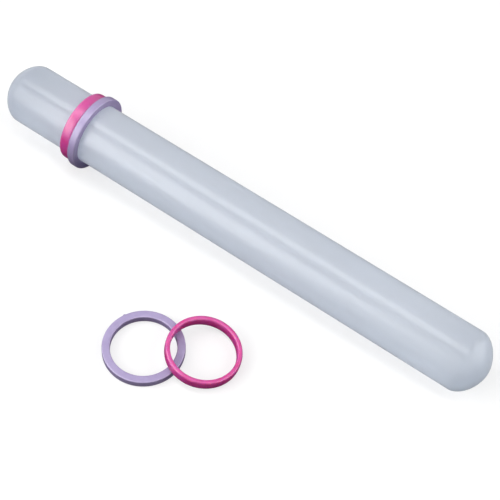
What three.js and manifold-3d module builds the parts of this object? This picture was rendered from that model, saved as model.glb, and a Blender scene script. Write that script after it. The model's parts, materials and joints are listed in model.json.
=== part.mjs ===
import * as THREE from 'three';
import { mergeVertices } from 'three/addons/utils/BufferGeometryUtils.js';
import Module from 'manifold-3d';

// Adjustable rolling pin, in millimetres, +Z up, resting on the plane z = 0.
// A plain roller with domed ends carries slip-on guide rings: the radial height of a ring
// is the thickness that the dough is rolled to. One ring of each height is on the roller,
// and its twin lies on the table in front.

// Roller, one solid piece of polyethylene
const rollerDiameter = 25.4;
const rollerLength = 228.6;
const domeDepth = 9.6;
// 2 gives an ellipse, and less gives a tighter shoulder and a leaner crown
const domeExponent = 1.78;

// Thick guide ring, a near-square section with flat faces
const thickRingLift = 3.3;
const thickRingWidth = 3.2;
const thickRimEdge = 0.5;
const thickBoreEdge = 0.3;

// Stub of the moulding gate on the rim of the thick ring, nearer to one face
const gateRadius = 0.55;
const gateProud = 0.35;
const gateSunk = 0.8;
const gateShift = 0.75;

// Thin guide ring, a wider band with full round edges and a slightly crowned rim
const thinRingLift = 2.2;
const thinRingWidth = 4.7;
const thinRimEdge = 0.9;
const thinBoreEdge = 0.7;
const thinRingCrown = 0.15;

// Clearances: bore of a ring to the roller, side by side, and one ring lying on another
const boreClearance = 0.15;
const sideGap = 0.3;
const lyingGap = 0.15;

// Places: the fitted rings from the roller's left tip, and the spare rings on the table
const thinRingInset = 35.7;
const spareGap = 30.4;
const spareShift = 0.9;
const spareOverlap = 8.0;
const spareBearing = 28.5;
const spareGateBearing = 155;
const fittedGateBearing = 156;

// Fineness of the faceted surfaces
const roundSides = 64;
const domeSteps = 9;
const thickArcDivisions = 1;
const thinArcDivisions = 2;
const gateSides = 12;

// Sizes that follow from the ones above
const rollerRadius = rollerDiameter / 2;
const boreRadius = rollerRadius + boreClearance;
const thickRadius = rollerRadius + thickRingLift;
const thinRadius = rollerRadius + thinRingLift;
const degree = Math.PI / 180;

const wasm = await Module();
wasm.setup();

/** The closed solid of a geometry, for cutting and joining. */
function toSolid(geometry) {
  const plain = geometry.clone();
  plain.deleteAttribute('normal');
  plain.deleteAttribute('uv');
  const merged = mergeVertices(plain);
  return new wasm.Manifold(new wasm.Mesh({
    numProp: 3,
    vertProperties: Float32Array.from(merged.attributes.position.array),
    triVerts: Uint32Array.from(merged.index.array),
  }));
}

/** The geometry of a joined solid. */
function toGeometry(solid) {
  const mesh = solid.getMesh();
  const geometry = new THREE.BufferGeometry();
  geometry.setAttribute('position', new THREE.BufferAttribute(mesh.vertProperties, 3));
  geometry.setIndex(new THREE.BufferAttribute(mesh.triVerts, 1));
  geometry.computeVertexNormals();
  return geometry;
}

/** Quarter of the roller's outline, from the shoulder of a dome to its tip. */
function domeQuarter() {
  const power = 2 / domeExponent;
  return Array.from({ length: domeSteps + 1 }, (_, step) => {
    const turn = (Math.PI / 2) * (step / domeSteps);
    const radius = step === domeSteps ? 0 : rollerRadius * Math.cos(turn) ** power;
    return new THREE.Vector2(radius, domeDepth * Math.sin(turn) ** power);
  });
}

/** Roller along X, centred on the origin, a dome at each end. */
function rollerGeometry() {
  const shoulder = rollerLength / 2 - domeDepth;
  const right = domeQuarter().map((point) => new THREE.Vector2(point.x, shoulder + point.y));
  const left = right.map((point) => new THREE.Vector2(point.x, -point.y)).reverse();
  return new THREE.LatheGeometry([...left, ...right], roundSides).rotateZ(-Math.PI / 2);
}

/** Closed section of a ring: radius across, width along Y, with round edges and a crown. */
function ringSection({ radius, width, rimEdge, boreEdge, crown, arcDivisions }) {
  const half = width / 2;
  const rim = radius - crown;
  const section = new THREE.Shape();
  section.moveTo(boreRadius + boreEdge, -half);
  section.lineTo(rim - rimEdge, -half);
  section.absarc(rim - rimEdge, rimEdge - half, rimEdge, -Math.PI / 2, 0);
  if (crown > 0) section.quadraticCurveTo(radius + crown, 0, rim, half - rimEdge);
  section.absarc(rim - rimEdge, half - rimEdge, rimEdge, 0, Math.PI / 2);
  section.lineTo(boreRadius + boreEdge, half);
  section.absarc(boreRadius + boreEdge, half - boreEdge, boreEdge, Math.PI / 2, Math.PI);
  section.absarc(boreRadius + boreEdge, boreEdge - half, boreEdge, Math.PI, 1.5 * Math.PI);
  return section.getPoints(arcDivisions);
}

/** Thick ring around Y, with the stub of its gate on the rim towards +X. */
function thickRingGeometry() {
  const section = ringSection({
    radius: thickRadius,
    width: thickRingWidth,
    rimEdge: thickRimEdge,
    boreEdge: thickBoreEdge,
    crown: 0,
    arcDivisions: thickArcDivisions,
  });
  const ring = new THREE.LatheGeometry(section, roundSides);
  const gate = new THREE.CylinderGeometry(gateRadius, gateRadius, gateProud + gateSunk, gateSides);
  gate.rotateZ(-Math.PI / 2);
  gate.translate(thickRadius + (gateProud - gateSunk) / 2, gateShift, 0);
  return toGeometry(toSolid(ring).add(toSolid(gate)));
}

/** Thin ring around Y. */
function thinRingGeometry() {
  const section = ringSection({
    radius: thinRadius,
    width: thinRingWidth,
    rimEdge: thinRimEdge,
    boreEdge: thinBoreEdge,
    crown: thinRingCrown,
    arcDivisions: thinArcDivisions,
  });
  return new THREE.LatheGeometry(section, roundSides);
}

/** Mesh with a name and a plastic of its own. */
function plasticMesh(name, geometry, colour, roughness) {
  const material = new THREE.MeshStandardMaterial({ color: colour, roughness, metalness: 0 });
  const mesh = new THREE.Mesh(geometry, material);
  mesh.name = name;
  return mesh;
}

const milky = (name, geometry) => plasticMesh(name, geometry, '#ccd5e0', 0.35);
const lilac = (name, geometry) => plasticMesh(name, geometry, '#b7abd3', 0.4);
const pink = (name, geometry) => plasticMesh(name, geometry, '#dc5a9e', 0.35);

/** The slope t for which reach * sin(t) - rise * cos(t) equals height. */
function slopeFor(reach, rise, height) {
  return Math.atan2(rise, reach) + Math.asin(height / Math.hypot(reach, rise));
}

/** Roller with its fitted rings, leaning on the thick ring and on its right shoulder. */
function rollerGroup() {
  const group = new THREE.Group();
  const shoulder = rollerLength / 2 - domeDepth;
  const thinPlace = thinRingInset + thinRingWidth / 2 - rollerLength / 2;
  const thickPlace = thinPlace + (thinRingWidth + thickRingWidth) / 2 + sideGap;

  const thin = pink('thin_ring_fitted', thinRingGeometry().rotateZ(-Math.PI / 2));
  thin.position.x = thinPlace;
  const thick = lilac('thick_ring_fitted', thickRingGeometry().rotateZ(-Math.PI / 2));
  thick.position.x = thickPlace;
  thick.rotation.x = fittedGateBearing * degree;
  group.add(milky('roller', rollerGeometry()), thin, thick);

  const footPlace = thickPlace + thickRingWidth / 2 - thickRimEdge;
  const rise = thickRadius - thickRimEdge - rollerRadius;
  const tilt = slopeFor(shoulder - footPlace, rise, thickRimEdge);
  group.rotation.y = tilt;
  group.position.z = shoulder * Math.sin(tilt) + rollerRadius * Math.cos(tilt);
  return group;
}

/** Spare rings: the thick one flat on the table, the thin one leaning on its rim. */
function spareGroup() {
  const group = new THREE.Group();
  const thick = lilac('thick_ring_spare', thickRingGeometry().rotateX(Math.PI / 2));
  thick.position.z = thickRingWidth / 2;
  thick.rotation.z = spareGateBearing * degree;
  group.add(thick);

  const spread = thickRadius + thinRadius - spareOverlap;
  const thinTrack = boreRadius + thinBoreEdge;
  const thickTrack = thickRadius - thickRimEdge;
  const crossing = (spread ** 2 + thinTrack ** 2 - thickTrack ** 2) / (2 * spread);
  const farTrack = thinRadius - thinRingCrown - thinRimEdge;
  const lift = thickRingWidth + lyingGap - thinRimEdge;
  const tilt = slopeFor(farTrack + crossing, thinRimEdge, lift);

  const thin = pink('thin_ring_spare', thinRingGeometry().rotateX(Math.PI / 2));
  thin.rotation.y = tilt;
  const lean = new THREE.Group();
  lean.add(thin);
  lean.rotation.z = spareBearing * degree;
  lean.position.x = spread * Math.cos(spareBearing * degree);
  lean.position.y = spread * Math.sin(spareBearing * degree);
  const straight = (thinRingWidth / 2 - thinRimEdge) * Math.cos(tilt);
  lean.position.z = straight + farTrack * Math.sin(tilt) + thinRimEdge;
  group.add(lean);

  group.position.set(spareShift, -(2 * thickRadius + spareGap), 0);
  return group;
}

// The origin is under the middle of the whole set, on the table
const model = new THREE.Group();
model.add(rollerGroup(), spareGroup());
const box = new THREE.Box3().setFromObject(model, true);
const middle = box.getCenter(new THREE.Vector3());
model.position.set(-middle.x, -middle.y, -box.min.z);

export default model;
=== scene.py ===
"""Adjustable rolling pin: a milky roller, the two guide rings on it, and a spare of each.

Lengths are metres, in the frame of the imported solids: +X along the roller, +Z up.
"""

import json
import logging
import math
from dataclasses import dataclass
from enum import Enum

import bmesh
import bpy
import numpy as np
from mathutils import Matrix, Vector


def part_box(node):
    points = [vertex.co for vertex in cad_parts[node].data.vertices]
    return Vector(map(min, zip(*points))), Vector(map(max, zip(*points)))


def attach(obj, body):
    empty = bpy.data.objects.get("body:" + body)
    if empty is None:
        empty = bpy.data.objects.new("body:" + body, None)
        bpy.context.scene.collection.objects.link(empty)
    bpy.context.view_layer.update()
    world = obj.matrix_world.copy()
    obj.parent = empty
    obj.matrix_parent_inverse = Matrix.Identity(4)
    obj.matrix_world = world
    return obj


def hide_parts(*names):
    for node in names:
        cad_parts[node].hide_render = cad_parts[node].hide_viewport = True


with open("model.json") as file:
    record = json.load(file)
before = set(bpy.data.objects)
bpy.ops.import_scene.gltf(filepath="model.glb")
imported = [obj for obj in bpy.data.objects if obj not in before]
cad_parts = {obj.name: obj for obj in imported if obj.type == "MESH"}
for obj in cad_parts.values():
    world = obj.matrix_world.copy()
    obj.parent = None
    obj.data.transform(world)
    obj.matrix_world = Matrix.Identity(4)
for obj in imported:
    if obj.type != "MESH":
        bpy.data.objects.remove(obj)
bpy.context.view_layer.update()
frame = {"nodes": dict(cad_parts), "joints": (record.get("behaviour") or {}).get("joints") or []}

MILLIMETRE = 0.001
X_AXIS = Vector((1, 0, 0))
Z_AXIS = Vector((0, 0, 1))

# Faces round every piece, and how near two points are when they become one
SIDES = 256
WELD_DISTANCE = 0.001 * MILLIMETRE

# Share of the roller's rows of faces that lies on its straight body
BODY_SHARE = 0.4

# Name of a number at each point of a ring, from 0 on the flats to 1 at the edges
EDGE_ATTRIBUTE = "edge"

# The curve that the colours of a screen follow
SCREEN_LEVELS = 255
CURVE_TOE = 0.04045
CURVE_TOE_SLOPE = 12.92
CURVE_OFFSET = 0.055
CURVE_POWER = 2.4

# A random pattern runs from 0 to 1, and this is its middle
PATTERN_MIDDLE = 0.5

# Pixels across the photograph, and how many times nearer and further than its target the camera sees
PHOTO_WIDTH = 500
CAMERA_REACH = 100

LOG = logging.getLogger("rolling_pin")

Colour = tuple[float, float, float]
NodeColour = tuple[float, float, float, float]
Place = tuple[float, float, float]
Span = tuple[float, float]


class Slot(Enum):
    """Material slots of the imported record."""

    ROLLER = "roller_plastic"
    LILAC = "lilac_plastic"
    PINK = "pink_plastic"


class Body(Enum):
    """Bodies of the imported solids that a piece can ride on."""

    ROLLER = "roller"
    THICK = "thick_ring"
    THIN = "thin_ring"
    SPARE_THICK = "spare_thick_ring"
    SPARE_THIN = "spare_thin_ring"


@dataclass(frozen=True)
class Pattern:
    """A smooth random pattern: features to a metre, and the number and strength of finer layers."""

    scale: float
    layers: float
    layer_strength: float = 0.5


def from_screen(colour: Colour) -> NodeColour:
    """Turn a colour as a screen shows it into the linear colour of a node.

    Args:
        colour: red, green and blue from 0 to 255.

    Returns:
        Linear red, green and blue, and an alpha of 1.
    """
    shares = [value / SCREEN_LEVELS for value in colour]
    linear = [
        share / CURVE_TOE_SLOPE
        if share <= CURVE_TOE
        else ((share + CURVE_OFFSET) / (1 + CURVE_OFFSET)) ** CURVE_POWER
        for share in shares
    ]
    return (*linear, 1.0)


def grey(brightness: float) -> NodeColour:
    """The linear colour of a grey, with an alpha of 1."""
    return (brightness, brightness, brightness, 1.0)


class Wire:
    """A number that runs between nodes, so that node maths reads as an expression."""

    def __init__(self, board: "Board", socket: bpy.types.NodeSocket) -> None:
        """Keep the output socket and the board that it is on."""
        self.board = board
        self.socket = socket

    def maths(self, operation: str, *values: "Wire | float") -> "Wire":
        """Add a Math node.

        Args:
            operation: Blender's name for the operation.
            values: numbers or wires, in the order of the node's sockets.

        Returns:
            The node's result.
        """
        node = self.board.add("ShaderNodeMath", {"operation": operation}, dict(enumerate(values)))
        return self.board.wire(node)

    def __add__(self, other: "Wire | float") -> "Wire":
        """Sum."""
        return self.maths("ADD", self, other)

    def __radd__(self, other: float) -> "Wire":
        """Sum, with the number first."""
        return self.maths("ADD", other, self)

    def __sub__(self, other: "Wire | float") -> "Wire":
        """Difference."""
        return self.maths("SUBTRACT", self, other)

    def __rsub__(self, other: float) -> "Wire":
        """Difference, with the number first."""
        return self.maths("SUBTRACT", other, self)

    def __mul__(self, other: "Wire | float") -> "Wire":
        """Product."""
        return self.maths("MULTIPLY", self, other)

    def __rmul__(self, other: float) -> "Wire":
        """Product, with the number first."""
        return self.maths("MULTIPLY", other, self)

    def __truediv__(self, other: "Wire | float") -> "Wire":
        """Quotient."""
        return self.maths("DIVIDE", self, other)

    def __rtruediv__(self, other: float) -> "Wire":
        """Quotient, with the number first."""
        return self.maths("DIVIDE", other, self)

    def __pow__(self, other: "Wire | float") -> "Wire":
        """Power."""
        return self.maths("POWER", self, other)

    def __abs__(self) -> "Wire":
        """Size without the sign."""
        return self.maths("ABSOLUTE", self)

    def sign(self) -> "Wire":
        """Sign, as -1, 0 or 1."""
        return self.maths("SIGN", self)

    def sine(self) -> "Wire":
        """Sine of an angle in radians."""
        return self.maths("SINE", self)

    def cosine(self) -> "Wire":
        """Cosine of an angle in radians."""
        return self.maths("COSINE", self)

    def at_least(self, floor: float) -> "Wire":
        """The number, or the floor where it is lower."""
        return self.maths("MAXIMUM", self, floor)

    def at_most(self, ceiling: float) -> "Wire":
        """The number, or the ceiling where it is higher."""
        return self.maths("MINIMUM", self, ceiling)


class Board:
    """A node tree, and the one way in which nodes are added to it."""

    def __init__(self, tree: bpy.types.NodeTree) -> None:
        """Keep the tree."""
        self.tree = tree

    def add(self, kind: str, settings: dict | None = None, sockets: dict | None = None) -> bpy.types.Node:
        """Add a node, set it up, then feed its sockets.

        Args:
            kind: Blender's name for the type of node.
            settings: the node's own settings.
            sockets: values, wires or sockets by the input's name or number.

        Returns:
            The new node.
        """
        node = self.tree.nodes.new(kind)
        for name, value in (settings or {}).items():
            setattr(node, name, value)
        self.feed_all(node, sockets or {})
        return node

    def feed_all(self, node: bpy.types.Node, sockets: dict) -> None:
        """Feed several inputs of a node, by their names or numbers."""
        for key, value in sockets.items():
            self.feed(node.inputs[key], value)

    def feed(self, entry: bpy.types.NodeSocket, value: object) -> None:
        """Give an input socket a value, or link a wire or a socket to it.

        Args:
            entry: the input socket.
            value: a plain value, a wire or an output socket.
        """
        if isinstance(value, Wire):
            value = value.socket
        if isinstance(value, bpy.types.NodeSocket):
            self.tree.links.new(value, entry)
        else:
            entry.default_value = value

    def wire(self, node: bpy.types.Node, output: int | str = 0) -> Wire:
        """The wire that leaves one output of a node."""
        return Wire(self, node.outputs[output])

    def split(self, vector: Wire) -> tuple[Wire, Wire, Wire]:
        """The three parts of a vector."""
        node = self.add("ShaderNodeSeparateXYZ", sockets={0: vector})
        return self.wire(node, 0), self.wire(node, 1), self.wire(node, 2)

    def join(self, x: Wire, y: Wire, z: Wire) -> Wire:
        """The vector with these three parts."""
        return self.wire(self.add("ShaderNodeCombineXYZ", sockets={0: x, 1: y, 2: z}))


class ShaderBoard(Board):
    """The nodes of a material or of the world."""

    def noise(self, place: Wire, pattern: Pattern) -> Wire:
        """Read a random pattern.

        Args:
            place: the point that it is read at.
            pattern: its scale and its finer layers.

        Returns:
            A number from 0 to 1, mostly near the middle.
        """
        sockets = {
            "Vector": place,
            "Scale": pattern.scale,
            "Detail": pattern.layers,
            "Roughness": pattern.layer_strength,
        }
        return self.wire(self.add("ShaderNodeTexNoise", sockets=sockets))

    def ease(self, value: Wire, low: float, high: float) -> Wire:
        """Carry a number from 0 to 1, smoothly, as it goes from low to high."""
        sockets = {"Value": value, "From Min": low, "From Max": high}
        return self.wire(self.add("ShaderNodeMapRange", {"interpolation_type": "SMOOTHSTEP"}, sockets))

    def blend(self, share: Wire, first: object, second: object) -> Wire:
        """Mix two colours: the second one's share goes from 0 to 1."""
        # The node has sockets of these names for every type, and 6, 7 and 2 are those for colours
        node = self.add("ShaderNodeMix", {"data_type": "RGBA"}, {0: share, 6: first, 7: second})
        return self.wire(node, 2)

    def layer(self, share: Wire, under: bpy.types.Node, over: bpy.types.Node) -> bpy.types.Node:
        """Mix two shaders: the share of the one over the other goes from 0 to 1."""
        sockets = {0: share, 1: under.outputs[0], 2: over.outputs[0]}
        return self.add("ShaderNodeMixShader", sockets=sockets)

    def bumped(self, height: Wire) -> Wire:
        """The direction that a surface faces with small heights on it, in metres."""
        sockets = {"Height": height, "Strength": 1.0, "Distance": 1.0}
        return self.wire(self.add("ShaderNodeBump", sockets=sockets))

    def stretched(self, centre: Vector, axis: Vector, scale: Place = (1, 1, 1)) -> Wire:
        """Object coordinates that run along a piece's own axis.

        Args:
            centre: the piece's middle.
            axis: the direction that becomes the pattern's X.
            scale: how much finer the pattern is along each of its own directions.

        Returns:
            The point in the piece's own directions.
        """
        place = self.wire(self.add("ShaderNodeTexCoord"), "Object")
        turn = X_AXIS.rotation_difference(axis).to_euler()
        sockets = {"Vector": place, "Location": centre, "Rotation": turn}
        own = self.wire(self.add("ShaderNodeMapping", {"vector_type": "TEXTURE"}, sockets))
        return self.wire(self.add("ShaderNodeMapping", sockets={"Vector": own, "Scale": scale}))


class GrowthBoard(Board):
    """The nodes of a piece that grows by a rule from named sizes."""

    def __init__(self, name: str) -> None:
        """Make the tree, with its way in and its way out.

        Args:
            name: the tree's name.
        """
        super().__init__(bpy.data.node_groups.new(name, "GeometryNodeTree"))
        self.tree.interface.new_socket("Geometry", in_out="OUTPUT", socket_type="NodeSocketGeometry")
        self.entry = self.tree.nodes.new("NodeGroupInput")
        self.exit = self.tree.nodes.new("NodeGroupOutput")

    def size(self, name: str, kind: str = "NodeSocketFloat") -> Wire:
        """Add a named input.

        Args:
            name: the input's name.
            kind: Blender's name for the type of socket.

        Returns:
            The wire that leaves the input.
        """
        self.tree.interface.new_socket(name, in_out="INPUT", socket_type=kind)
        return self.wire(self.entry, name)

    def sheet(self, across: Wire, along: Wire) -> tuple[Wire, Wire, Wire]:
        """Start from a flat sheet of faces.

        Args:
            across: number of faces along the sheet's X.
            along: number of faces along its Y.

        Returns:
            The sheet, and each point's place along X and along Y, from -0.5 to 0.5.
        """
        sizes = {"Size X": 1.0, "Size Y": 1.0, "Vertices X": across + 1, "Vertices Y": along + 1}
        sheet = self.wire(self.add("GeometryNodeMeshGrid", sockets=sizes), "Mesh")
        x, y, _ = self.split(self.wire(self.add("GeometryNodeInputPosition")))
        return sheet, x, y

    def roll_up(self, sheet: Wire, turn: Wire, radius: Wire, along: Wire) -> Wire:
        """Bend the sheet round the X axis and close its seams and poles.

        Args:
            sheet: the flat sheet.
            turn: each point's place round the axis, in whole turns.
            radius: its distance from the axis.
            along: its place along the axis.

        Returns:
            The closed shape.
        """
        angle = turn * math.tau
        place = self.join(along, -1 * radius * angle.sine(), radius * angle.cosine())
        bent = self.add("GeometryNodeSetPosition", sockets={"Geometry": sheet, "Position": place})
        sockets = {"Geometry": self.wire(bent), "Distance": WELD_DISTANCE}
        return self.wire(self.add("GeometryNodeMergeByDistance", sockets=sockets))

    def remember(self, shape: Wire, name: str, value: Wire) -> Wire:
        """Store a number at each point of a shape.

        Args:
            shape: the shape.
            name: the name that the number is stored under.
            value: the number.

        Returns:
            The shape with the number on it.
        """
        settings = {"data_type": "FLOAT", "domain": "POINT"}
        sockets = {"Geometry": shape, "Name": name, "Value": value}
        return self.wire(self.add("GeometryNodeStoreNamedAttribute", settings, sockets))

    def hand_over(self, shape: Wire) -> None:
        """End the tree: smooth faces, real geometry and the finish.

        Args:
            shape: the finished shape.
        """
        smooth = self.add("GeometryNodeSetShadeSmooth", sockets={"Geometry": shape})
        real = self.add("GeometryNodeRealizeInstances", sockets={0: self.wire(smooth)})
        finish = self.size("Finish", "NodeSocketMaterial")
        sockets = {"Geometry": self.wire(real), "Material": finish}
        dressed = self.add("GeometryNodeSetMaterial", sockets=sockets)
        self.feed(self.exit.inputs[0], self.wire(dressed))

    def grow(self, name: str, sizes: dict[str, object]) -> bpy.types.Object:
        """Grow a piece and keep the result as a plain mesh.

        Args:
            name: the piece's name.
            sizes: a value for each named input.

        Returns:
            The piece, with no modifier left on it.
        """
        piece = bpy.data.objects.new(name, bpy.data.meshes.new(name))
        bpy.context.scene.collection.objects.link(piece)
        growth = piece.modifiers.new("growth", "NODES")
        growth.node_group = self.tree
        for entry in self.tree.interface.items_tree:
            if entry.in_out == "INPUT":
                growth[entry.identifier] = sizes[entry.name]
        settle(piece)
        return piece


def settle(piece: bpy.types.Object) -> None:
    """Turn a piece with modifiers into a plain mesh.

    Args:
        piece: the piece, which keeps its name and loses its modifiers.
    """
    bpy.context.view_layer.update()
    view = bpy.context.evaluated_depsgraph_get()
    mesh = bpy.data.meshes.new_from_object(piece.evaluated_get(view))
    piece.modifiers.clear()
    piece.data = mesh
    mesh.name = piece.name


def put_in_place(mesh: bpy.types.Mesh, own_axis: Vector, axis: Vector, centre: Vector) -> None:
    """Turn a mesh from its own axis to another one, then move it from the origin to its place."""
    turn = own_axis.rotation_difference(axis).to_matrix().to_4x4()
    mesh.transform(Matrix.Translation(centre) @ turn)


def face_outwards(mesh: bpy.types.Mesh) -> None:
    """Turn every face of a closed mesh to the outside.

    Args:
        mesh: the mesh, with its doubles already merged.
    """
    shell = bmesh.new()
    shell.from_mesh(mesh)
    bmesh.ops.recalc_face_normals(shell, faces=shell.faces)
    shell.to_mesh(mesh)
    shell.free()


def roller_tree() -> GrowthBoard:
    """The rule of the roller: a cylinder with superellipse domes.

    Returns:
        The tree, which grows the roller along X.
    """
    board = GrowthBoard("roller_growth")
    radius = board.size("Radius")
    half_body = board.size("Half Body")
    depth = board.size("Dome Depth")
    exponent = board.size("Dome Exponent")
    sides = board.size("Sides", "NodeSocketInt")
    rows = board.size("Rows", "NodeSocketInt")
    sheet, x, y = board.sheet(sides, rows)
    run = abs(y) * 2
    turn = (run - BODY_SHARE).at_least(0) * (math.pi / 2 / (1 - BODY_SHARE))
    power = 2 / exponent
    out = radius * turn.cosine().at_least(0) ** power
    body = run.at_most(BODY_SHARE) / BODY_SHARE * half_body
    along = y.sign() * (body + depth * turn.sine() ** power)
    board.hand_over(board.roll_up(sheet, x, out, along))
    return board


def ring_tree() -> GrowthBoard:
    """The rule of a guide ring: a section between an ellipse and a rectangle, carried round.

    Returns:
        The tree, which grows the ring round X.
    """
    board = GrowthBoard("ring_growth")
    bore = board.size("Bore Radius")
    thickness = board.size("Thickness")
    width = board.size("Width")
    squareness = board.size("Squareness")
    sides = board.size("Sides", "NodeSocketInt")
    points = board.size("Section Points", "NodeSocketInt")
    sheet, x, y = board.sheet(sides, points)
    angle = y * math.tau
    cosine, sine = angle.cosine(), angle.sine()
    power = 2 / squareness
    out = cosine.sign() * abs(cosine) ** power
    side = sine.sign() * abs(sine) ** power
    marked = board.remember(sheet, EDGE_ATTRIBUTE, abs(2 * cosine * sine))
    radius = bore + thickness / 2 * (1 + out)
    board.hand_over(board.roll_up(marked, x, radius, side * width / 2))
    return board


def new_material(name: str) -> tuple[bpy.types.Material, ShaderBoard]:
    """Start a material.

    Args:
        name: its name.

    Returns:
        The material, and the board of its nodes.
    """
    material = bpy.data.materials.new(name)
    material.use_nodes = True
    return material, ShaderBoard(material.node_tree)


@dataclass(frozen=True)
class MilkyPolyethylene:
    """Finish of the roller: a satin skin over milky plastic that lets most of the light through.

    Each end lets more through than the middle. Its gain sets in at end_starts and is whole at
    end_is_full, both measured from the roller's middle.
    """

    name: str = "milky_polyethylene"
    cool: Colour = (237, 240, 246)
    warm: Colour = (240, 243, 247)
    inner: Colour = (241, 246, 253)
    through_share: float = 0.75
    ringed_end_gain: float = 0.10
    plain_end_gain: float = 0.04
    end_starts: float = 76 * MILLIMETRE
    end_is_full: float = 104 * MILLIMETRE
    gloss_index: float = 1.65
    specular: float = 1.0
    roughness: float = 0.25
    roughness_spread: float = 0.06
    cloud: Pattern = Pattern(45.0, 3)
    cloud_stretch: Place = (0.3, 1, 1)
    cloud_span: Span = (0.35, 0.65)
    turning: Pattern = Pattern(900.0, 2)
    turning_stretch: Place = (1, 0.06, 0.06)
    turning_share: float = 0.5
    wear: Pattern = Pattern(135.0, 4)
    grain: Pattern = Pattern(1500.0, 3, 0.6)
    grain_height: float = 0.004 * MILLIMETRE

    def material(self, centre: Vector, axis: Vector) -> bpy.types.Material:
        """Make the material.

        Args:
            centre: the roller's middle.
            axis: the direction of its length.

        Returns:
            The material, with its patterns along the roller.
        """
        material, board = new_material(self.name)
        skin = board.tree.nodes["Principled BSDF"]
        clouded = board.stretched(centre, axis, self.cloud_stretch)
        turned = board.stretched(centre, axis, self.turning_stretch)
        plain = board.stretched(centre, axis)
        cloud = board.ease(board.noise(clouded, self.cloud), *self.cloud_span)
        turning = board.noise(turned, self.turning)
        grain = board.noise(plain, self.grain)
        wear = board.noise(plain, self.wear)
        uneven = wear - PATTERN_MIDDLE + (turning - PATTERN_MIDDLE) * self.turning_share
        varying = {
            "Base Color": board.blend(cloud, from_screen(self.cool), from_screen(self.warm)),
            "Roughness": self.roughness + uneven * self.roughness_spread,
            "Normal": board.bumped((grain + turning * self.turning_share) * self.grain_height),
        }
        steady = {"Specular IOR Level": self.specular, "IOR": self.gloss_index}
        board.feed_all(skin, varying | steady)
        through = board.add("ShaderNodeBsdfTranslucent", sockets={"Color": from_screen(self.inner)})
        both = board.layer(self.passed_share(board, plain), skin, through)
        board.feed(board.tree.nodes["Material Output"].inputs["Surface"], both.outputs[0])
        return material

    def passed_share(self, board: ShaderBoard, place: Wire) -> Wire:
        """Find the share of the light that the plastic lets through.

        Args:
            board: the nodes that it is for.
            place: the point in the roller's own directions.

        Returns:
            The share of what the gloss leaves over, larger at both ends.
        """
        gloss = board.wire(board.add("ShaderNodeFresnel", sockets={"IOR": self.gloss_index}))
        along, _, _ = board.split(place)
        ringed_end = board.ease(0 - along, self.end_starts, self.end_is_full) * self.ringed_end_gain
        plain_end = board.ease(along, self.end_starts, self.end_is_full) * self.plain_end_gain
        return (1 - gloss) * (self.through_share + ringed_end + plain_end)


@dataclass(frozen=True)
class RingPlastic:
    """Finish of a guide ring: coloured moulded plastic, paler at its edges, partly from rubbed wear and
    partly as a painted highlight.

    The mark at the edges is multiplied by wear_and_highlight_base plus a random pattern times
    wear_and_highlight_patchiness.
    Where that is below wear_and_highlight_span nothing is painted, and above it wear_and_highlight_share
    of the colour is the pale edge colour.
    """

    name: str
    deep: Colour
    pale: Colour
    # Pale colour at the edges: partly rubbed wear, partly a painted highlight along the rounded edges
    worn_and_highlight_colour: Colour
    roughness: float
    scatter: float
    scatter_depth: float
    scatter_colour: Colour
    skin_tint: Colour
    skin_weight: float = 0.35
    skin_index: float = 1.05
    gloss_index: float = 1.55
    specular: float = 0.9
    roughness_spread: float = 0.08
    flow: Pattern = Pattern(220.0, 3)
    flow_span: Span = (0.3, 0.7)
    patch: Pattern = Pattern(440.0, 4)
    wear_and_highlight_base: float = 0.6
    wear_and_highlight_patchiness: float = 0.8
    wear_and_highlight_span: Span = (0.55, 1.2)
    wear_and_highlight_share: float = 0.35
    grain: Pattern = Pattern(2600.0, 2, 0.6)
    grain_height: float = 0.003 * MILLIMETRE

    def material(self, centre: Vector, axis: Vector) -> bpy.types.Material:
        """Make the material.

        Args:
            centre: the ring's middle.
            axis: the direction of its bore.

        Returns:
            The material, with its patterns in the ring's own directions.
        """
        material, board = new_material(self.name)
        place = board.stretched(centre, axis)
        flow = board.ease(board.noise(place, self.flow), *self.flow_span)
        grain = board.noise(place, self.grain)
        patch = board.noise(place, self.patch)
        edge = board.wire(board.add("ShaderNodeAttribute", {"attribute_name": EDGE_ATTRIBUTE}), "Fac")
        # Paler edges: a mark on the section's edges that is partly rubbed wear and partly a painted
        # highlight
        wear_and_highlight_strength = edge * (self.wear_and_highlight_base + patch * self.wear_and_highlight_patchiness)
        wear_and_highlight_mix = board.ease(wear_and_highlight_strength, *self.wear_and_highlight_span) * self.wear_and_highlight_share
        moulded = board.blend(flow, from_screen(self.deep), from_screen(self.pale))
        varying = {
            "Base Color": board.blend(wear_and_highlight_mix, moulded, from_screen(self.worn_and_highlight_colour)),
            "Roughness": self.roughness + (patch - PATTERN_MIDDLE) * self.roughness_spread,
            "Normal": board.bumped((grain + patch) * self.grain_height),
        }
        steady = {
            "Subsurface Weight": self.scatter,
            "Subsurface Radius": from_screen(self.scatter_colour)[:3],
            "Subsurface Scale": self.scatter_depth,
            "Specular IOR Level": self.specular,
            "IOR": self.gloss_index,
            "Coat Weight": self.skin_weight,
            "Coat Roughness": self.roughness,
            "Coat IOR": self.skin_index,
            "Coat Tint": from_screen(self.skin_tint),
        }
        board.feed_all(board.tree.nodes["Principled BSDF"], varying | steady)
        return material


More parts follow.
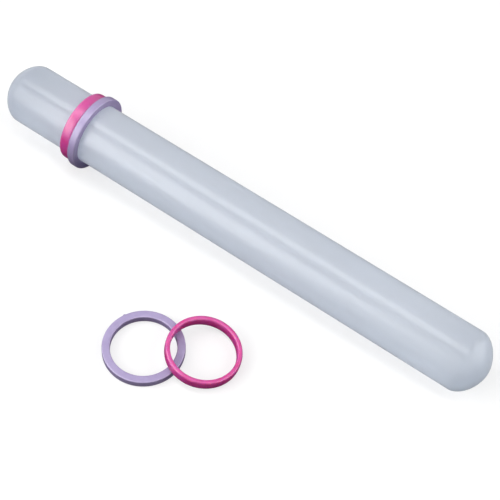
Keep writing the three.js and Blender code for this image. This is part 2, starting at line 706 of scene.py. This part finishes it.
LILAC = RingPlastic(
    name="lilac_plastic",
    deep=(165, 151, 192),
    pale=(173, 160, 199),
    worn_and_highlight_colour=(208, 199, 226),
    roughness=0.38,
    scatter=0.15,
    scatter_depth=1.0 * MILLIMETRE,
    scatter_colour=(255, 235, 255),
    skin_tint=(200, 196, 206),
)
PINK = RingPlastic(
    name="pink_plastic",
    deep=(209, 60, 150),
    pale=(218, 78, 166),
    worn_and_highlight_colour=(240, 156, 216),
    roughness=0.34,
    scatter=0.6,
    scatter_depth=2.5 * MILLIMETRE,
    scatter_colour=(255, 100, 150),
    skin_tint=(205, 180, 196),
)


def slide_axis(joint: str) -> Vector:
    """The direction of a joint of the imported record."""
    found = next(row for row in frame["joints"] if row["name"] == joint)
    return Vector(found["axis"]).normalized()


def points_of(node: str) -> np.ndarray:
    """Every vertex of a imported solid, as rows of three numbers."""
    mesh = frame["nodes"][node].data
    return np.array([vertex.co for vertex in mesh.vertices], float).reshape(-1, 3)


def middle_of(node: str) -> Vector:
    """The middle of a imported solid's box."""
    low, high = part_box(node)
    return (low + high) / 2


def flat_axis(node: str) -> Vector:
    """Find the direction in which a packed ring is thinnest.

    Args:
        node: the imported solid's name.

    Returns:
        The direction, pointing upwards.
    """
    points = points_of(node)
    _, _, directions = np.linalg.svd(points - points.mean(axis=0), full_matrices=False)
    axis = Vector(directions[2])
    return axis if axis.z > 0 else -axis


def hand_in(piece: bpy.types.Object, node: str, body: Body) -> None:
    """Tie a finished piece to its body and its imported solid.

    Args:
        piece: the finished piece.
        node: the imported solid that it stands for.
        body: the body that it rides on.
    """
    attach(piece, body.value)
    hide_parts(node)
    LOG.info("%s: %d faces, rides on %s", piece.name, len(piece.data.polygons), body.value)


@dataclass
class Roller:
    """The plain roller with its domed ends, one piece of milky plastic."""

    piece: str = "milky_roller"
    node: str = "roller"
    body: Body = Body.ROLLER
    slot: Slot = Slot.ROLLER
    finish: MilkyPolyethylene = MilkyPolyethylene()
    radius: float = 12.7 * MILLIMETRE
    length: float = 228.6 * MILLIMETRE
    dome_depth: float = 9.6 * MILLIMETRE
    dome_exponent: float = 1.78
    rows: int = 120

    def build(self, tree: GrowthBoard) -> bpy.types.Object:
        """Grow the roller, put it in its place and dress it.

        Args:
            tree: the rule of the roller.

        Returns:
            The finished piece.
        """
        centre = middle_of(self.node)
        axis = slide_axis("thick_ring_slide")
        sizes = {
            "Radius": self.radius,
            "Half Body": self.length / 2 - self.dome_depth,
            "Dome Depth": self.dome_depth,
            "Dome Exponent": self.dome_exponent,
            "Sides": SIDES,
            "Rows": self.rows,
            "Finish": self.finish.material(centre, axis),
        }
        roller = tree.grow(self.piece, sizes)
        put_in_place(roller.data, X_AXIS, axis, centre)
        face_outwards(roller.data)
        hand_in(roller, self.node, self.body)
        return roller


@dataclass
class GateStub:
    """The trimmed stub that the moulding gate leaves on the rim of a thick ring."""

    foot: Vector
    direction: Vector
    radius: float = 0.55 * MILLIMETRE
    proud: float = 0.35 * MILLIMETRE
    sunk: float = 0.8 * MILLIMETRE
    edge: float = 0.1 * MILLIMETRE
    sides: int = 32

    def build(self, finish: bpy.types.Material) -> bpy.types.Object:
        """Turn the stub from its outline, with a shallow torn hollow on top.

        Args:
            finish: the ring's material.

        Returns:
            The closed stub, which reaches into the rim.
        """
        outline = [
            (0.0, -self.sunk),
            (self.radius, -self.sunk),
            (self.radius, self.proud - self.edge),
            (self.radius - self.edge, self.proud),
            (self.radius / 2, self.proud - self.edge / 2),
            (0.0, self.proud - self.edge),
        ]
        shell = bmesh.new()
        points = [shell.verts.new((radius, 0, height)) for radius, height in outline]
        edges = [shell.edges.new(pair) for pair in zip(points, points[1:])]
        bmesh.ops.spin(
            shell,
            geom=points + edges,
            cent=(0, 0, 0),
            axis=Z_AXIS,
            angle=math.tau,
            steps=self.sides,
            use_merge=True,
        )
        bmesh.ops.remove_doubles(shell, verts=shell.verts, dist=WELD_DISTANCE)
        bmesh.ops.recalc_face_normals(shell, faces=shell.faces)
        mesh = bpy.data.meshes.new("gate_stub")
        shell.to_mesh(mesh)
        shell.free()
        mesh.materials.append(finish)
        put_in_place(mesh, Z_AXIS, self.direction, self.foot)
        mesh.polygons.foreach_set("use_smooth", [True] * len(mesh.polygons))
        stub = bpy.data.objects.new("gate_stub", mesh)
        bpy.context.scene.collection.objects.link(stub)
        return stub


@dataclass(frozen=True)
class RingMould:
    """What a guide ring and its spare have in common: section, finish and gate.

    A squareness of 2 is an ellipse, and the section nears a rectangle as it grows. Edges that
    turn by more than crease_angle are sharp once the stub is joined.
    """

    slot: Slot
    finish: RingPlastic
    thickness: float
    width: float
    squareness: float
    has_gate: bool
    bore_radius: float = 12.85 * MILLIMETRE
    section_points: int = 48
    crease_angle: float = math.radians(50)


THICK_MOULD = RingMould(
    slot=Slot.LILAC,
    finish=LILAC,
    thickness=3.15 * MILLIMETRE,
    width=3.2 * MILLIMETRE,
    squareness=8.0,
    has_gate=True,
)
THIN_MOULD = RingMould(
    slot=Slot.PINK,
    finish=PINK,
    thickness=2.05 * MILLIMETRE,
    width=4.7 * MILLIMETRE,
    squareness=3.4,
    has_gate=False,
)


@dataclass
class GuideRing:
    """A slip-on ring that holds the roller off the table by its own thickness."""

    piece: str
    node: str
    body: Body
    mould: RingMould
    axis: Vector

    def build(self, tree: GrowthBoard) -> bpy.types.Object:
        """Grow the ring, put it in its place, join its gate stub and dress it.

        Args:
            tree: the rule of the rings.

        Returns:
            The finished piece.
        """
        centre = middle_of(self.node)
        finish = self.mould.finish.material(centre, self.axis)
        sizes = {
            "Bore Radius": self.mould.bore_radius,
            "Thickness": self.mould.thickness,
            "Width": self.mould.width,
            "Squareness": self.mould.squareness,
            "Sides": SIDES,
            "Section Points": self.mould.section_points,
            "Finish": finish,
        }
        ring = tree.grow(self.piece, sizes)
        put_in_place(ring.data, X_AXIS, self.axis, centre)
        face_outwards(ring.data)
        if self.mould.has_gate:
            self.join_gate(ring, self.gate_stub(centre).build(finish))
        hand_in(ring, self.node, self.body)
        return ring

    def gate_stub(self, centre: Vector) -> GateStub:
        """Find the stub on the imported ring: its tip is what stands furthest from the axis.

        Args:
            centre: the ring's middle.

        Returns:
            The stub, with its foot on the rim.
        """
        offsets = points_of(self.node) - np.array(centre)
        along = offsets @ np.array(self.axis)
        out = offsets - np.outer(along, np.array(self.axis))
        reach = np.linalg.norm(out, axis=1)
        tip = reach > reach.max() - GateStub.proud / 2
        direction = Vector(out[tip].mean(axis=0)).normalized()
        shift = self.axis * float((along[tip].min() + along[tip].max()) / 2)
        rim = direction * (self.mould.bore_radius + self.mould.thickness)
        return GateStub(foot=centre + shift + rim, direction=direction)

    def join_gate(self, ring: bpy.types.Object, stub: bpy.types.Object) -> None:
        """Make the ring and its stub one closed mesh.

        Args:
            ring: the ring, which takes the stub in.
            stub: the stub, which is removed.
        """
        union = ring.modifiers.new("gate", "BOOLEAN")
        union.operation = "UNION"
        union.solver = "EXACT"
        union.object = stub
        settle(ring)
        bpy.data.objects.remove(stub)
        ring.data.set_sharp_from_angle(angle=self.mould.crease_angle)


def guide_rings() -> list[GuideRing]:
    """List the four rings: a thick and a thin one on the roller, and their spares.

    Returns:
        The rings, each with the direction of its bore.
    """
    along = slide_axis("thick_ring_slide")
    lean = flat_axis("thin_ring_spare")
    return [
        GuideRing("thick_ring_on_roller", "thick_ring_fitted", Body.THICK, THICK_MOULD, along),
        GuideRing("thin_ring_on_roller", "thin_ring_fitted", Body.THIN, THIN_MOULD, along),
        GuideRing("thick_ring_on_table", "thick_ring_spare", Body.SPARE_THICK, THICK_MOULD, Z_AXIS),
        GuideRing("thin_ring_on_table", "thin_ring_spare", Body.SPARE_THIN, THIN_MOULD, lean),
    ]


@dataclass(frozen=True)
class SoftBox:
    """A flat lamp that shines evenly from one face.

    Brightness 1 is the white of the picture as seen straight in a mirror.
    """

    name: str
    towards: Place
    long_side: float
    short_side: float
    long_axis: Place
    brightness: float
    distance: float = 1.6

    def build(self, target: Vector) -> bpy.types.Object:
        """Hang the lamp so that it faces the target.

        Args:
            target: the point that the lamp faces.

        Returns:
            The lamp.
        """
        lamp = bpy.data.lights.new(self.name, "AREA")
        lamp.shape = "RECTANGLE"
        lamp.size = self.long_side
        lamp.size_y = self.short_side
        lamp.energy = self.brightness * math.pi * self.long_side * self.short_side
        back = Vector(self.towards).normalized()
        up = back.cross(Vector(self.long_axis)).normalized()
        side = up.cross(back)
        turn = Matrix((side, up, back)).transposed().to_4x4()
        rig = bpy.data.objects.new(self.name, lamp)
        bpy.context.scene.collection.objects.link(rig)
        rig.matrix_world = Matrix.Translation(target + back * self.distance) @ turn
        LOG.info("lamp %s", self.name)
        return rig


@dataclass(frozen=True)
class Studio:
    """Pale floor, soft lamps and the even light of the room.

    The object's shadow fades out between shadow_fade_start and shadow_fade_end from the middle.
    """

    floor_half: float = 3.0
    lit_colour: float = 0.95
    bounce_colour: float = 0.06
    shadow_fade_start: float = 0.16
    shadow_fade_end: float = 0.30
    least_white: float = 0.62
    room_light: float = 0.03
    target: Place = (0.0, 0.01, 0.0)
    lamps: tuple[SoftBox, ...] = (
        SoftBox(
            name="overhead_strip",
            towards=(-0.298, -0.02, 0.954),
            long_side=2.6,
            short_side=0.46,
            long_axis=(1, 0, 0),
            brightness=4.4,
        ),
        SoftBox(
            name="left_front_box",
            towards=(-0.60, -0.65, 0.50),
            long_side=1.7,
            short_side=1.2,
            long_axis=(-0.735, 0.678, 0),
            brightness=4.2,
        ),
        SoftBox(
            name="right_box",
            towards=(0.85, -0.2, 0.45),
            long_side=1.3,
            short_side=1.1,
            long_axis=(0, 0, 1),
            brightness=1.2,
        ),
        SoftBox(
            name="right_back_box",
            towards=(0.75, 0.5, 0.45),
            long_side=1.6,
            short_side=1.6,
            long_axis=(0, 0, 1),
            brightness=2.7,
        ),
    )

    def build(self) -> None:
        """Set up the floor, the world and the lamps."""
        self.build_floor()
        self.build_world()
        for lamp in self.lamps:
            lamp.build(Vector(self.target))

    def seen_as_background(self, board: ShaderBoard, far: Wire | float = 1.0) -> Wire:
        """Find the rays that show the background.

        Args:
            board: the nodes that it is for.
            far: 1 where mirrored rays and rays through glass show it too.

        Returns:
            1 for those rays, and 0 for the rays that light the object.
        """
        paths = board.add("ShaderNodeLightPath")
        seen = board.wire(paths, "Is Camera Ray")
        mirrored = board.wire(paths, "Is Glossy Ray")
        through = board.wire(paths, "Is Transmission Ray")
        return (seen + (mirrored + through) * far).at_most(1)

    def build_floor(self) -> None:
        """Lay a floor that is white far out and takes the object's shadow near it."""
        shell = bmesh.new()
        bmesh.ops.create_grid(shell, x_segments=1, y_segments=1, size=self.floor_half)
        mesh = bpy.data.meshes.new("studio_floor")
        shell.to_mesh(mesh)
        shell.free()
        floor = bpy.data.objects.new("studio_floor", mesh)
        bpy.context.scene.collection.objects.link(floor)
        mesh.materials.append(self.floor_material())

    def floor_material(self) -> bpy.types.Material:
        """Make the floor's material: white to the eye, and dark to the light that it bounces.

        Returns:
            The material, which is lit and shadowed near the object and evenly white further out.
        """
        material, board = new_material("studio_floor")
        board.tree.nodes.clear()
        x, y, _ = board.split(board.wire(board.add("ShaderNodeTexCoord"), "Object"))
        reach = (x * x + y * y) ** 0.5
        far = board.ease(reach, self.shadow_fade_start, self.shadow_fade_end)
        fade = self.least_white + far * (1 - self.least_white)
        lit = board.add("ShaderNodeBsdfDiffuse", sockets={"Color": grey(self.lit_colour)})
        white = board.add("ShaderNodeEmission", sockets={"Color": grey(1.0), "Strength": 1.0})
        shown = board.layer(fade, lit, white)
        dark = board.add("ShaderNodeBsdfDiffuse", sockets={"Color": grey(self.bounce_colour)})
        both = board.layer(self.seen_as_background(board, far), dark, shown)
        board.add("ShaderNodeOutputMaterial", sockets={"Surface": both.outputs[0]})
        return material

    def build_world(self) -> None:
        """White background beyond the floor, and a weak even light from all sides."""
        world = bpy.data.worlds.new("studio")
        world.use_nodes = True
        bpy.context.scene.world = world
        board = ShaderBoard(world.node_tree)
        board.tree.nodes.clear()
        seen = self.seen_as_background(board)
        colour = board.blend(seen, grey(self.room_light), grey(1.0))
        light = board.add("ShaderNodeBackground", sockets={"Color": colour, "Strength": 1.0})
        board.add("ShaderNodeOutputWorld", sockets={"Surface": light.outputs[0]})


@dataclass(frozen=True)
class Viewpoint:
    """The camera's place, from the way the photograph shows the roller.

    The focal share is the focal length in widths of the picture. The sensor is in millimetres.
    """

    target: Place = (6.59 * MILLIMETRE, 31.143 * MILLIMETRE, 0.0)
    distance: float = 571.052 * MILLIMETRE
    elevation: float = math.radians(55.318)
    turn: float = math.radians(31.581)
    roll: float = math.radians(4.379)
    focal_share: float = 1421.484 / PHOTO_WIDTH
    sensor: float = 36.0

    def build(self) -> bpy.types.Object:
        """Make the camera and take it as the scene's own.

        Returns:
            The camera.
        """
        level = Vector((math.sin(self.turn), -math.cos(self.turn), 0))
        back = level * math.cos(self.elevation) + Z_AXIS * math.sin(self.elevation)
        right = Vector((math.cos(self.turn), math.sin(self.turn), 0))
        up = back.cross(right)
        side = right * math.cos(self.roll) + up * math.sin(self.roll)
        top = up * math.cos(self.roll) - right * math.sin(self.roll)
        lens = bpy.data.cameras.new("photo_camera")
        lens.sensor_width = self.sensor
        lens.lens = self.sensor * self.focal_share
        lens.clip_start = self.distance / CAMERA_REACH
        lens.clip_end = self.distance * CAMERA_REACH
        camera = bpy.data.objects.new("photo_camera", lens)
        bpy.context.scene.collection.objects.link(camera)
        rotation = Matrix((side, top, back)).transposed().to_4x4()
        camera.matrix_world = Matrix.Translation(Vector(self.target) + back * self.distance) @ rotation
        bpy.context.scene.camera = camera
        return camera


def main() -> None:
    """Build the camera, the pieces and the studio, in that order."""
    logging.basicConfig(level=logging.INFO, format="%(message)s")
    bpy.context.scene.view_settings.view_transform = "Standard"
    Viewpoint().build()
    Roller().build(roller_tree())
    rings = ring_tree()
    for ring in guide_rings():
        ring.build(rings)
    Studio().build()


if __name__ == "__main__":
    main()
